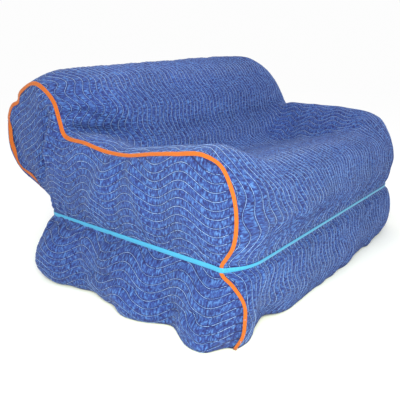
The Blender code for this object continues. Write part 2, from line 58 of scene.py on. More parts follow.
# near, middle and far are (depth, height) at the two end seams and between them
coverStation = namedtuple("coverStation", "near middle far reach arm tuck", defaults=(0.15, 0, 0.0))
low, high = cover["waistLow"], cover["waistHigh"]
stationRows = (
    ((0.0, 0.0), (0.006, 0.0), (0.055, 0.0)),
    ((-0.03, 0.06), (-0.016, 0.06), (0.036, 0.06)),
    ((-0.036, 0.112), (-0.024, 0.112), (0.024, 0.112)),
    ((-0.03, 0.175), (-0.014, 0.175), (0.026, 0.175)),
    ((0.016, 0.222), (0.0, 0.222), (0.044, 0.222)),
    ((0.056, low), (0.014, low), (0.066, low)),
    ((0.056, high), (0.014, high), (0.066, high)),
    ((0.038, 0.302), (0.004, 0.302), (0.058, 0.302)),
    ((0.014, 0.345), (-0.01, 0.36), (0.054, 0.35)),
    ((0.004, 0.437), (-0.014, 0.435), (0.052, 0.44)),
    ((0.022, 0.522), (0.014, 0.505), (0.07, 0.53)),
    ((0.062, 0.588), (0.06, 0.544), (0.106, 0.588), 0.34, 1),
    ((0.126, 0.614), (0.13, 0.556), (0.156, 0.618), 0.34, 1),
    ((0.247, 0.606), (0.25, 0.54), (0.264, 0.638), 0.34, 1),
    ((0.36, 0.592), (0.39, 0.508), (0.38, 0.646), 0.34, 1),
    ((0.485, 0.574), (0.5, 0.484), (0.48, 0.65), 0.34, 1),
    ((0.594, 0.576), (0.58, 0.476), (0.565, 0.653), 0.34, 1),
    ((0.711, 0.594), (0.645, 0.515), (0.64, 0.656), 0.34, 1),
    ((0.84, 0.612), (0.69, 0.59), (0.708, 0.664), 0.3, 0.75),
    ((0.866, 0.67), (0.716, 0.665), (0.742, 0.722), 0.28, 0.35),
    ((0.89, 0.735), (0.758, 0.755), (0.786, 0.79), 0.25),
    ((0.95, 0.785), (0.836, 0.842), (0.856, 0.862), 0.2),
    ((1.032, 0.811), (0.965, 0.901), (0.95, 0.905), 0.16),
    ((1.16, 0.762), (1.12, 0.876), (1.09, 0.872), 0.16),
    ((1.244, 0.692), (1.228, 0.785), (1.19, 0.78), 0.16),
    ((1.282, 0.599), (1.302, 0.65), (1.24, 0.66)),
    ((1.28, 0.49), (1.296, 0.5), (1.22, 0.5), 0.15, 0, 0.006),
    ((1.256, 0.412), (1.264, 0.415), (1.17, 0.42), 0.15, 0, 0.03),
    ((1.19, 0.352), (1.196, 0.352), (1.09, 0.352), 0.15, 0, 0.06),
    ((1.112, 0.306), (1.116, 0.306), (1.044, 0.306), 0.15, 0, 0.074),
    ((1.062, high), (1.06, high), (1.02, high), 0.15, 0, 0.076),
    ((1.062, low), (1.06, low), (1.02, low), 0.15, 0, 0.076),
    ((1.082, 0.222), (1.078, 0.222), (1.036, 0.222), 0.15, 0, 0.076),
    ((1.108, 0.175), (1.1, 0.175), (1.056, 0.175), 0.15, 0, 0.074),
    ((1.116, 0.112), (1.112, 0.112), (1.066, 0.112), 0.15, 0, 0.07),
    ((1.102, 0.056), (1.1, 0.056), (1.056, 0.056), 0.15, 0, 0.06),
    ((1.074, 0.0), (1.072, 0.0), (1.034, 0.0), 0.15, 0, 0.05),
)
stations = [coverStation(*row) for row in stationRows]
frontLow, frontHigh, rearHigh, rearLow = 5, 6, 30, 31
backFirst, backLast = 18, 26

# How far the skirt of an end flares out at its hem, by depth
hemFlare = (
    (0.0, 0.0),
    (0.05, 0.07),
    (0.1, 0.092),
    (0.2, 0.064),
    (0.276, 0.052),
    (0.371, 0.094),
    (0.56, 0.086),
    (0.713, 0.088),
    (0.897, 0.124),
    (1.074, 0.02),
)

# Soft ridges, or troughs where rise is negative, each along a line
clothFold = namedtuple("clothFold", "start end reach rise")


def foldsOf(*rows):
    return tuple(clothFold(*row) for row in rows)


def endFoldsOf(*rows):
    # The same with depth and height only, as an end is nearly flat
    return tuple(clothFold((0.0, *start), (0.0, *end), reach, rise) for start, end, reach, rise in rows)


bodyFolds = foldsOf(
    ((0.15, -0.02, 0.08), (0.2, 0.0, 0.0), 0.08, -0.042),
    ((0.1, 0.02, 0.52), (0.42, -0.01, 0.37), 0.04, 0.012),
    ((0.33, 0.0, 0.46), (0.3, 0.0, 0.34), 0.028, -0.012),
    ((0.62, 0.0, 0.4), (0.8, 0.0, 0.3), 0.03, -0.008),
    ((1.1, 0.0, 0.44), (1.3, 0.01, 0.32), 0.034, 0.008),
    ((0.2, 0.64, 0.6), (0.05, 0.8, 0.66), 0.034, -0.016),
    ((0.1, 0.74, 0.6), (0.24, 0.7, 0.7), 0.03, 0.01),
    ((0.5, 0.68, 0.6), (1.35, 0.68, 0.66), 0.034, -0.01),
    ((1.1, 0.36, 0.5), (1.45, 0.2, 0.58), 0.04, -0.014),
    ((1.22, 0.5, 0.52), (1.36, 0.62, 0.62), 0.034, -0.012),
    ((0.78, -0.01, 0.08), (0.84, -0.01, 0.0), 0.13, 0.018),
    ((0.86, -0.02, 0.2), (0.8, 0.0, 0.02), 0.045, -0.008),
    ((1.26, -0.02, 0.22), (1.18, 0.02, 0.02), 0.04, 0.01),
    ((0.3, 1.24, 0.7), (0.42, 1.12, 0.4), 0.045, -0.01),
    ((0.95, 1.24, 0.66), (0.85, 1.1, 0.38), 0.05, 0.01),
    ((0.6, 1.04, 0.2), (0.56, 1.02, 0.02), 0.045, 0.01),
    ((1.1, 1.04, 0.2), (1.16, 1.02, 0.02), 0.045, -0.01),
)
bodyPuckers = foldsOf(
    # pinched cloth where the back meets the near arm
    ((0.01, 0.861, 0.694), (0.08, 0.797, 0.705), 0.012, -0.011),
    ((0.08, 0.797, 0.705), (0.132, 0.775, 0.671), 0.012, -0.009),
    ((0.06, 0.826, 0.668), (0.104, 0.804, 0.646), 0.018, 0.009),
    ((0.024, 0.842, 0.638), (0.15, 0.784, 0.616), 0.013, -0.01),
    ((0.15, 0.784, 0.616), (0.33, 0.76, 0.625), 0.02, -0.006),
    # far arm
    ((1.343, 0.209, 0.618), (1.453, 0.08, 0.576), 0.014, -0.008),
    ((1.25, 0.178, 0.571), (1.366, 0.076, 0.568), 0.016, -0.008),
    # front, where the strap drags the cloth
    ((0.257, -0.034, 0.446), (0.355, -0.033, 0.406), 0.016, -0.008),
    ((0.145, -0.029, 0.377), (0.24, -0.028, 0.33), 0.015, -0.006),
    # seat valley
    ((0.798, 0.511, 0.56), (1.228, 0.364, 0.56), 0.045, -0.01),
)
endPuckers = endFoldsOf(
    # rolled hem of the skirt, and the tab at the near corner
    ((0.712, 0.07), (0.637, 0.101), 0.014, -0.01),
    ((0.637, 0.101), (0.532, 0.124), 0.014, -0.012),
    ((0.532, 0.124), (0.4, 0.112), 0.014, -0.012),
    ((0.4, 0.112), (0.3, 0.108), 0.016, -0.01),
    ((0.64, 0.062), (0.4, 0.07), 0.026, 0.008),
    ((0.285, 0.075), (0.127, 0.105), 0.015, -0.013),
    ((0.127, 0.105), (0.03, 0.112), 0.015, -0.012),
    ((0.17, 0.06), (0.08, 0.07), 0.022, 0.01),
    ((0.062, 0.075), (0.045, 0.02), 0.014, -0.012),
    # roll's end, where it tucks behind the arm
    ((1.02, 0.69), (1.06, 0.52), 0.045, -0.008),
    ((0.905, 0.6), (0.93, 0.48), 0.02, 0.008),
)
seamPinch = clothFold((-0.010, 1.192, 0.748), (0.050, 1.200, 0.755), 0.030, -0.017)
endFolds = endFoldsOf(
    ((0.93, 0.69), (1.01, 0.5), 0.046, -0.022),
    ((1.0, 0.5), (1.04, 0.4), 0.04, -0.014),
    ((0.98, 0.7), (1.13, 0.56), 0.07, -0.01),
    ((0.955, 0.7), (0.985, 0.56), 0.02, -0.012),
    ((0.985, 0.56), (1.08, 0.36), 0.022, -0.014),
    ((0.902, 0.69), (0.94, 0.54), 0.03, 0.01),
    ((0.94, 0.54), (1.01, 0.41), 0.032, 0.012),
    ((1.08, 0.38), (1.0, 0.3), 0.05, 0.024),
    ((0.43, 0.54), (0.36, 0.29), 0.026, 0.014),
    ((0.48, 0.55), (0.56, 0.3), 0.026, -0.012),
    ((0.54, 0.55), (0.7, 0.31), 0.028, 0.012),
    ((0.6, 0.55), (0.84, 0.4), 0.034, -0.01),
    ((0.33, 0.48), (0.27, 0.33), 0.03, -0.008),
    ((0.12, 0.52), (0.13, 0.33), 0.08, 0.012),
    ((0.11, 0.21), (0.16, 0.06), 0.04, 0.016),
    ((0.3, 0.2), (0.25, 0.02), 0.045, -0.018),
    ((0.56, 0.21), (0.44, 0.04), 0.05, 0.014),
    ((0.76, 0.2), (0.66, 0.02), 0.05, -0.014),
    ((0.9, 0.18), (0.95, 0.08), 0.07, 0.036),
)

nearLine = np.array([row.near for row in stations])
middleLine = np.array([row.middle for row in stations])
farLine = np.array([row.far for row in stations])
reachOf = np.array([row.reach for row in stations])
armOf = np.array([row.arm for row in stations], float)
tuckOf = np.array([row.tuck for row in stations])


def smoothStep(value):
    value = np.clip(value, 0.0, 1.0)
    return value * value * (3.0 - 2.0 * value)


def unit(vectors):
    return vectors / np.linalg.norm(vectors, axis=-1, keepdims=True)


def lengthsAlong(line):
    return np.concatenate([[0.0], np.cumsum(np.linalg.norm(np.diff(line, axis=0), axis=1))])


stationPlaces = lengthsAlong((nearLine + middleLine) / 2.0)
pinnedPlaces = stationPlaces[[0, frontLow, frontHigh, rearHigh, rearLow, -1]]


def spline(knots, values, places):
    # Cubic curve through values at knots, read at places
    step = np.diff(knots)
    slope = np.diff(values, axis=0) / step[:, None]
    tangent = np.empty_like(values)
    tangent[0], tangent[-1] = slope[0], slope[-1]
    share = (step[:-1] / (step[:-1] + step[1:]))[:, None]
    tangent[1:-1] = slope[:-1] * (1.0 - share) + slope[1:] * share
    cell = np.clip(np.searchsorted(knots, places, side="right") - 1, 0, len(step) - 1)
    length = step[cell][:, None]
    part = ((places - knots[cell]) / step[cell])[:, None]
    square, cube = part**2, part**3
    return (
        values[cell] * (2 * cube - 3 * square + 1)
        + tangent[cell] * length * (cube - 2 * square + part)
        + values[cell + 1] * (3 * square - 2 * cube)
        + tangent[cell + 1] * length * (cube - square)
    )


def section(across):
    # Station points of the body panel at one distance from the near seam
    width = cover["width"]
    fromFar = width - across
    seam = nearLine if across < fromFar else farLine
    inward = min(across, fromFar)
    rounding = 1.0 - (1.0 - np.clip(inward / reachOf, 0.0, 1.0)) ** 2.4
    overArm = smoothStep((inward - 0.07) / 0.27)
    share = ((1.0 - armOf) * rounding + armOf * overArm)[:, None]
    middle = middleLine.copy()
    lean = np.zeros(len(stations))
    lean[backFirst : backLast + 1] = np.sin(np.linspace(0.15, math.pi - 0.15, backLast - backFirst + 1))
    offCentre = across / width - 0.5
    middle[:, 1] += lean * cover["backRise"] * offCentre
    middle[:, 0] += lean * cover["backSkew"] * offCentre
    frontFade = smoothStep(np.linspace(4.0, 0.0, rearHigh // 2))
    middle[: len(frontFade), 0] += cover["frontSkew"] * offCentre * frontFade
    points = seam + (middle - seam) * share
    crown = 0.016 * (1.0 - (1.0 - min(inward / 0.08, 1.0)) ** 2.4) * (1.0 - overArm)
    points[:, 1] += armOf * crown
    sides = across + tuckOf * (1.0 - smoothStep(across / 0.35) - (1.0 - smoothStep(fromFar / 0.35)))
    return np.column_stack([sides, points])


def normalsOf(grid):
    return unit(np.cross(np.gradient(grid, axis=1), np.gradient(grid, axis=0)))


def foldHeight(points, folds):
    height = np.zeros(points.shape[:-1])
    for fold in folds:
        start, end = np.array(fold.start), np.array(fold.end)
        line = end - start
        part = np.clip((points - start) @ line / (line @ line), 0.0, 1.0)
        away = np.linalg.norm(points - start - part[..., None] * line, axis=-1)
        height += fold.rise * np.exp(-((away / fold.reach) ** 2))
    return height


def unevenness(u, v, lengths, seed):
    # Slow, uneven waves over the cloth, about 1 high
    dice = np.random.default_rng(seed)
    total = np.zeros(np.broadcast(u, v).shape)
    for length in lengths:
        for turn in range(3):
            angle, phase = dice.uniform(0.0, math.pi), dice.uniform(0.0, 2.0 * math.pi)
            total += np.sin(2.0 * math.pi * (u * math.cos(angle) + v * math.sin(angle)) / length + phase)
    return total / math.sqrt(3.0 * len(lengths))


def gathers(along, fromStrap, seed):
    # Small pleats that the tight strap raises above and below itself
    dice = np.random.default_rng(seed)
    total = np.zeros(np.broadcast(along, fromStrap).shape)
    for length in (0.034, 0.047, 0.071, 0.112):
        phase = dice.uniform(0.0, 2.0 * math.pi)
        total += np.sin(2.0 * math.pi * along / length + phase + 2.0 * np.sin(along / 0.21 + phase))
    away = np.abs(fromStrap)
    return total / 2.0 * smoothStep((away - 0.014) / 0.022) * np.exp(-np.maximum(away - 0.03, 0.0) / 0.045)


def inScene(name, data):
    made = bpy.data.objects.new(name, data)
    bpy.context.scene.collection.objects.link(made)
    return made


def linear(hexColour):
    # sRGB hex to linear RGBA
    parts = [int(hexColour[i : i + 2], 16) / 255.0 for i in (1, 3, 5)]
    return tuple(p / 12.92 if p <= 0.04045 else ((p + 0.055) / 1.055) ** 2.4 for p in parts) + (1.0,)


def addNode(tree, kind, settings=None, inputs=None, links=None):
    # Adds a node; inputs are values by socket, and links bring in another node's first output or a given one
    node = tree.nodes.new(kind)
    for name, value in (settings or {}).items():
        setattr(node, name, value)
    for name, value in (inputs or {}).items():
        node.inputs[name].default_value = value
    for name, source in (links or {}).items():
        source = source if isinstance(source, bpy.types.NodeSocket) else source.outputs[0]
        tree.links.new(source, node.inputs[name])
    return node


def startMaterial(name, values):
    material = bpy.data.materials.new(name)
    material.use_nodes = True
    shader = material.node_tree.nodes["Principled BSDF"]
    for socket, value in values.items():
        shader.inputs[socket].default_value = value
    return material, material.node_tree, shader


# the cloth's own blue, a lighter painted highlight for wrinkle crests, and a darker painted shade for the
# sewn grooves and wrinkle hollows
quiltLook = {
    "face": "#273a7d",
    "crestHighlight": "#4a71b2",
    "grooveShade": "#1a1b50",
    "channel": 0.028,
    "grooveWidth": 0.0052,
    "wrinkle": 0.0068,
    "weave": 0.0022,
}


def quiltedCloth():
    # Poly-cotton twill over thin wadding, wave-quilted: matt, with soft puffs, sewn grooves and fine wrinkles
    # that cross the channels; the grooves and wrinkle hollows carry painted shade and the wrinkle crests a
    # painted highlight. The real thread is 0.3 mm and is drawn coarser by the stitches.
    look = {
        "Roughness": 0.88,
        "Specular IOR Level": 0.25,
        "Sheen Weight": 0.12,
        "Sheen Roughness": 0.5,
        "Sheen Tint": linear("#b9cdf5"),
    }
    material, tree, shader = startMaterial("quiltedCloth", look)
    flat = addNode(tree, "ShaderNodeUVMap", {"uv_map": "clothFlat"})
    split = addNode(tree, "ShaderNodeSeparateXYZ", links={"Vector": flat})
    # channel number, and how far a point is from the nearest sewn line
    count = addNode(
        tree, "ShaderNodeMath", {"operation": "DIVIDE"}, {1: quiltLook["channel"]}, {0: split.outputs["Y"]}
    )
    beside = addNode(tree, "ShaderNodeMath", {"operation": "PINGPONG"}, {1: 0.5}, {0: count})
    puff = addNode(
        tree,
        "ShaderNodeMapRange",
        {"interpolation_type": "SMOOTHSTEP"},
        {"From Max": quiltLook["grooveWidth"] / quiltLook["channel"]},
        {"Value": beside},
    )
    # wrinkles: fast along the channel, slow across it
    stretched = addNode(
        tree,
        "ShaderNodeMapping",
        inputs={"Scale": (1.0 / quiltLook["wrinkle"], 1.9 / quiltLook["channel"], 1.0)},
        links={"Vector": flat},
    )
    wrinkle = addNode(
        tree,
        "ShaderNodeTexNoise",
        inputs={"Scale": 1.0, "Detail": 3.0, "Roughness": 0.6, "Distortion": 0.4},
        links={"Vector": stretched},
    )
    threads = addNode(
        tree,
        "ShaderNodeMapping",
        inputs={"Scale": (1.0 / quiltLook["weave"], 1.0 / quiltLook["weave"], 1.0)},
        links={"Vector": flat},
    )
    weave = addNode(
        tree,
        "ShaderNodeTexWave",
        {"bands_direction": "DIAGONAL"},
        {"Scale": 0.5, "Distortion": 1.0, "Detail": 1.0},
        {"Vector": threads},
    )
    place = addNode(tree, "ShaderNodeTexCoord")
    patches = addNode(
        tree,
        "ShaderNodeTexNoise",
        inputs={"Scale": 5.0, "Detail": 3.0, "Roughness": 0.6},
        links={"Vector": place.outputs["Object"]},
    )
    # colour: painted shade in the sewn grooves and wrinkle hollows, a painted highlight on wrinkle crests,
    # with slow patches of wear
    tone = addNode(tree, "ShaderNodeValToRGB", links={"Fac": wrinkle})
    ramp = tone.color_ramp
    ramp.elements[0].position, ramp.elements[0].color = 0.34, linear(quiltLook["grooveShade"])
    ramp.elements[1].position, ramp.elements[1].color = 0.68, linear(quiltLook["crestHighlight"])
    middle = ramp.elements.new(0.50)
    middle.color = linear(quiltLook["face"])
    # the darker colour laid along each sewn line is painted shade in the groove
    sewn = addNode(
        tree, "ShaderNodeMix", {"data_type": "RGBA"}, {6: linear(quiltLook["grooveShade"])}, {0: puff, 7: tone}
    )
    worn = addNode(tree, "ShaderNodeHueSaturation", links={"Color": sewn.outputs[2]})
    fade = addNode(
        tree,
        "ShaderNodeMapRange",
        inputs={"From Min": 0.3, "From Max": 0.7, "To Min": 0.9, "To Max": 1.1},
        links={"Value": patches},
    )
    tree.links.new(fade.outputs[0], worn.inputs["Value"])
    tree.links.new(worn.outputs["Color"], shader.inputs["Base Color"])
    # relief, in metres: weave, wrinkles, then the sewn groove
    under = {}
    layers = ((weave.outputs["Fac"], 0.25, 0.0004), (wrinkle, 0.9, 0.0048), (puff, 0.8, 0.002))
    for height, strength, depth in layers:
        given = {"Strength": strength, "Distance": depth}
        bump = addNode(tree, "ShaderNodeBump", inputs=given, links={"Height": height, **under})
        under = {"Normal": bump}
    tree.links.new(bump.outputs["Normal"], shader.inputs["Normal"])
    return material


def wovenTape(name, face, shade, ribPitch, roughness, sheen):
    # Narrow woven tape: fine ribs across it, a touch of sheen, and painted shade where the ribs sink
    look = {
        "Roughness": roughness,
        "Specular IOR Level": 0.3,
        "Sheen Weight": sheen,
        "Sheen Roughness": 0.4,
    }
    material, tree, shader = startMaterial(name, look)
    flat = addNode(tree, "ShaderNodeUVMap", {"uv_map": "clothFlat"})
    sized = addNode(
        tree,
        "ShaderNodeMapping",
        inputs={"Scale": (1.0 / ribPitch, 1.0 / ribPitch, 1.0)},
        links={"Vector": flat},
    )
    ribs = addNode(
        tree,
        "ShaderNodeTexWave",
        {"bands_direction": "X"},
        {"Scale": 0.5 / math.pi * 0.99, "Distortion": 0.6, "Detail": 2.0},
        {"Vector": sized},
    )
    fibre = addNode(tree, "ShaderNodeTexNoise", inputs={"Scale": 0.5, "Detail": 4.0}, links={"Vector": sized})
    pair = {0: ribs.outputs["Fac"], 1: fibre}
    both = addNode(tree, "ShaderNodeMath", {"operation": "MULTIPLY"}, links=pair)
    lift = addNode(
        tree,
        "ShaderNodeMapRange",
        inputs={"From Min": 0.0, "From Max": 0.35, "To Min": 0.2, "To Max": 1.0},
        links={"Value": both},
    )
    # the darker colour is painted shade in the rib hollows, broken up by fibre noise
    tones = {6: linear(shade), 7: linear(face)}
    tone = addNode(tree, "ShaderNodeMix", {"data_type": "RGBA"}, tones, {0: lift})
    tree.links.new(tone.outputs[2], shader.inputs["Base Color"])
    bump = addNode(
        tree,
        "ShaderNodeBump",
        inputs={"Strength": 0.6, "Distance": 0.0006},
        links={"Height": ribs.outputs["Fac"]},
    )
    tree.links.new(bump.outputs["Normal"], shader.inputs["Normal"])
    return material


def sewingThread(name, colour, sunkShade):
    # Spun polyester thread: matt, its own pale colour where it lies proud and painted shade where the wadding
    # takes it under
    material, tree, shader = startMaterial(name, {"Roughness": 0.6, "Sheen Weight": 0.3})
    place = addNode(tree, "ShaderNodeTexCoord")
    depth = addNode(
        tree,
        "ShaderNodeTexNoise",
        inputs={"Scale": 22.0, "Detail": 3.0, "Roughness": 0.6},
        links={"Vector": place.outputs["Object"]},
    )
    proud = addNode(
        tree, "ShaderNodeMapRange", inputs={"From Min": 0.40, "From Max": 0.62}, links={"Value": depth}
    )
    # the darker colour is painted shade where the thread sinks into the wadding, laid on at random along it
    tones = {6: linear(sunkShade), 7: linear(colour)}
    tone = addNode(tree, "ShaderNodeMix", {"data_type": "RGBA"}, tones, {0: proud})
    tree.links.new(tone.outputs[2], shader.inputs["Base Color"])
    return material


def meshObject(name, points, faces, flatPlaces, material):
    # Smooth mesh with the cloth's flat coordinates as its UV map
    mesh = bpy.data.meshes.new(name)
    mesh.from_pydata((np.asarray(points) + cover["place"]).tolist(), [], faces)
    mesh.update()
    layer = mesh.uv_layers.new(name="clothFlat")
    corner = np.empty(len(mesh.loops), np.int32)
    mesh.loops.foreach_get("vertex_index", corner)
    layer.data.foreach_set("uv", np.asarray(flatPlaces, np.float32)[corner].ravel())
    mesh.shade_smooth()
    mesh.materials.append(material)
    return inScene(name, mesh)


def turnedOut(made):
    # Faces point outwards, also on a mirrored end
    mesh = made.data
    points = np.empty(len(mesh.vertices) * 3)
    mesh.vertices.foreach_get("co", points)
    points = points.reshape(-1, 3)
    mesh.calc_loop_triangles()
    corners = np.empty(len(mesh.loop_triangles) * 3, np.int32)
    mesh.loop_triangles.foreach_get("vertices", corners)
    a, b, c = (points[corners.reshape(-1, 3)[:, i]] for i in range(3))
    if np.sum(a * np.cross(b, c)) < 0.0:
        mesh.flip_normals()
    return made


def clothSheet(name, outer, inner, flat, material):
    # Closed sheet: a fine outer face, and an inner face of every second row and column
    rows, columns = outer.shape[:2]
    keptRows = sorted({*range(0, rows, 2), rows - 1})
    keptColumns = sorted({*range(0, columns, 2), columns - 1})
    number = np.arange(rows * columns).reshape(rows, columns)
    inside = -np.ones((rows, columns), int)
    picked = [(r, c) for r in keptRows for c in keptColumns]
    for n, (r, c) in enumerate(picked):
        inside[r, c] = rows * columns + n
    points = np.concatenate([outer.reshape(-1, 3), inner[tuple(np.array(picked).T)]])
    flatPlaces = np.concatenate([flat.reshape(-1, 2), flat[tuple(np.array(picked).T)]])
    faces = np.stack([number[:-1, :-1], number[:-1, 1:], number[1:, 1:], number[1:, :-1]], axis=-1)
    faces = faces.reshape(-1, 4).tolist()
    for r, s in zip(keptRows[:-1], keptRows[1:]):
        for c, d in zip(keptColumns[:-1], keptColumns[1:]):
            faces.append([int(inside[r, c]), int(inside[s, c]), int(inside[s, d]), int(inside[r, d])])
    for c, flip in ((0, False), (columns - 1, True)):
        for r, s in zip(keptRows[:-1], keptRows[1:]):
            face = [*number[r : s + 1, c].tolist(), int(inside[s, c]), int(inside[r, c])]
            faces.append(face[::-1] if flip else face)
    for r, flip in ((0, True), (rows - 1, False)):
        for c, d in zip(keptColumns[:-1], keptColumns[1:]):
            face = [*number[r, c : d + 1].tolist(), int(inside[r, d]), int(inside[r, c])]
            faces.append(face[::-1] if flip else face)
    return turnedOut(meshObject(name, points, faces, flatPlaces, material))


def band(name, frames, flat, material, closed):
    # Band through a row of cross-sections, each a ring of points
    count, ring = frames.shape[:2]
    number = np.arange(count * ring).reshape(count, ring)
    ahead = np.roll(number, -1, axis=0) if closed else number[1:]
    here = number if closed else number[:-1]
    faces = np.stack([here, np.roll(here, -1, axis=1), np.roll(ahead, -1, axis=1), ahead], axis=-1)
    faces = faces.reshape(-1, 4).tolist()
    if not closed:
        faces += [number[0][::-1].tolist(), number[-1].tolist()]
    return turnedOut(meshObject(name, frames.reshape(-1, 3), faces, flat.reshape(-1, 2), material))


quilt = {
    "channel": 0.028,
    "bodyChannels": 58,
    "columnsInChannel": 4,
    "rowPitch": 0.0094,
    "surfacePitch": 0.003,
    "edgeColumns": (0.0, 0.003, 0.007, 0.013, 0.020, 0.028, 0.037, 0.046, 0.055),
    "bodyWaveReach": 0.013,
    "bodyWavePeriod": 0.155,
    "bodyWaveCrest": 1.48,
    "bunchReach": 0.085,
    "endWaveReach": 0.025,
    "endWavePeriod": 0.2484,
    "endWaveCrest": 0.205,
    "puffRise": 0.0030,
    "uneven": 0.0022,
    "gatherRise": 0.0045,
    "hemWidth": 0.016,
    "hemRise": 0.0016,
}


def rowTable():
    # Places of the fine rows along the loft, and the rows on the pinned places
    places, marks = [pinnedPlaces[0]], [0]
    for turn, (start, end) in enumerate(zip(pinnedPlaces[:-1], pinnedPlaces[1:])):
        rows = 1 if turn in (1, 3) else round((end - start) / quilt["rowPitch"])
        places.extend(np.linspace(start, end, rows + 1)[1:])
        marks.append(len(places) - 1)
    return np.array(places), marks


def columnTable():
    # Columns close beside the seams, then four to each channel, with a column on every sewn line
    edge = np.array(quilt["edgeColumns"])
    pitch = cover["width"] / quilt["bodyChannels"] / quilt["columnsInChannel"]
    middle = np.arange(1, quilt["bodyChannels"] * quilt["columnsInChannel"]) * pitch
    middle = middle[(middle > edge[-1] + 0.002) & (middle < cover["width"] - edge[-1] - 0.002)]
    return np.concatenate([edge, middle, cover["width"] - edge[::-1]])


def bodyWave(along):
    turns = (along - quilt["bodyWaveCrest"]) / quilt["bodyWavePeriod"]
    return quilt["bodyWaveReach"] * np.cos(2.0 * math.pi * turns)


def bunched(across, along):
    # The strap has dragged the front's cloth sideways just above itself, so the lines lie over there
    above = along - (pinnedPlaces[1] + pinnedPlaces[2]) / 2.0
    pulled = smoothStep((above - 0.055) / 0.075) * (1.0 - smoothStep((above - 0.14) / 0.17))
    spread = smoothStep(across / 0.15) * (1.0 - smoothStep((across - 0.42) / 0.45))
    return quilt["bunchReach"] * pulled * spread


def puffHeight(channels):
    # Rounded puff between two sewn lines, which are at whole numbers
    return np.abs(np.sin(math.pi * channels)) ** 0.7


def puffed(grid, normal, lineOf, fromStrap, fromHem, mask):
    # Lays the puffs and the turned hem on a panel, and gives it its wall
    atHem = smoothStep((quilt["hemWidth"] - fromHem) / 0.003)
    relief = quilt["puffRise"] * puffHeight(lineOf) * smoothStep((np.abs(fromStrap) - 0.012) / 0.02)
    relief = (relief * (1.0 - atHem) + quilt["hemRise"] * atHem) * mask
    outer, inner = grid + normal * relief[..., None], grid - normal * cover["wall"]
    return {"outer": outer, "inner": inner, "normal": normal, "lines": lineOf}


def bodyShape():
    places, marks = rowTable()
    even = columnTable()
    count = round(cover["width"] / quilt["surfacePitch"])
    base = np.linspace(0.0, cover["width"], count + 1)
    surface = np.stack([spline(stationPlaces, section(distance), places) for distance in base], axis=1)
    v = places[:, None]
    freedom = smoothStep(np.minimum(even, cover["width"] - even) / 0.06)[None, :]
    u = even[None, :] + bodyWave(v) * freedom + bunched(even[None, :], v)
    cell = np.clip((u / base[1]).astype(int), 0, count - 1)
    part = (u / base[1] - cell)[..., None]
    row = np.arange(len(places))[:, None]
    grid = surface[row, cell] * (1.0 - part) + surface[row, cell + 1] * part
    lineOf = (even[None, :] - bodyWave(v) * (1.0 - freedom)) * quilt["bodyChannels"] / cover["width"]
    inward = np.minimum(u, cover["width"] - u)
    fromStrap = np.where(
        places < places[len(places) // 2],
        places - (pinnedPlaces[1] + pinnedPlaces[2]) / 2.0,
        (pinnedPlaces[3] + pinnedPlaces[4]) / 2.0 - places,
    )[:, None]
    calm = smoothStep((np.abs(fromStrap) - 0.012) / 0.11) * smoothStep((inward - 0.012) / 0.10)
    near = smoothStep((inward - 0.008) / 0.02) * smoothStep((np.abs(fromStrap) - 0.012) / 0.03)
    folds = foldHeight(grid, bodyFolds) * calm + foldHeight(grid, bodyPuckers) * near
    grid = grid + normalsOf(grid) * (folds + foldHeight(grid, (seamPinch,)))[..., None]
    edgeCalm = smoothStep((inward - 0.008) / 0.05)
    extra = quilt["uneven"] * unevenness(u, v, (0.09, 0.14, 0.23), 5) * calm
    extra = extra + quilt["gatherRise"] * gathers(u, fromStrap, 11) * edgeCalm
    grid = grid + normalsOf(grid) * extra[..., None]
    normal = normalsOf(grid)
    fromHem = np.minimum(places - places[0], places[-1] - places)[:, None]
    shape = puffed(grid, normal, lineOf, fromStrap, fromHem, smoothStep((inward - 0.007) / 0.016))
    flat = np.stack(np.broadcast_arrays(v, lineOf * quilt["channel"]), axis=-1)
    shape.update(flat=flat, marks=marks, across=even)
    return shape


def insetSeam(seam):
    # Seam line of an end panel, tucked under the body panel's edge
    ahead = unit(np.diff(seam, axis=0))
    before, after = np.vstack([ahead[:1], ahead]), np.vstack([ahead, ahead[-1:]])
    along = unit(before + after)
    miter = np.maximum(np.sum(along * after, axis=1, keepdims=True), 0.6)
    inward = unit(np.column_stack([np.zeros(len(seam)), along[:, 2], -along[:, 1]]))
    return seam + inward * (cover["wall"] + cover["seamGap"]) / miter


def coons(bottom, top, left, right):
    # Smooth grid between four edge lines, rows from bottom to top
    across = np.linspace(0.0, 1.0, len(bottom))[None, :, None]
    up = np.linspace(0.0, 1.0, len(left))[:, None, None]
    grid = (1 - up) * bottom[None] + up * top[None]
    grid = grid + (1 - across) * left[:, None] + across * right[:, None]
    grid = grid - (1 - up) * ((1 - across) * bottom[0] + across * bottom[-1])
    return grid - up * ((1 - across) * top[0] + across * top[-1])


def dome(grid, acrossPower, upPower):
    up = np.linspace(0.0, 1.0, grid.shape[0])[:, None]
    across = np.linspace(0.0, 1.0, grid.shape[1])[None, :]
    return (4.0 * across * (1 - across)) ** acrossPower * (4.0 * up * (1 - up)) ** upPower


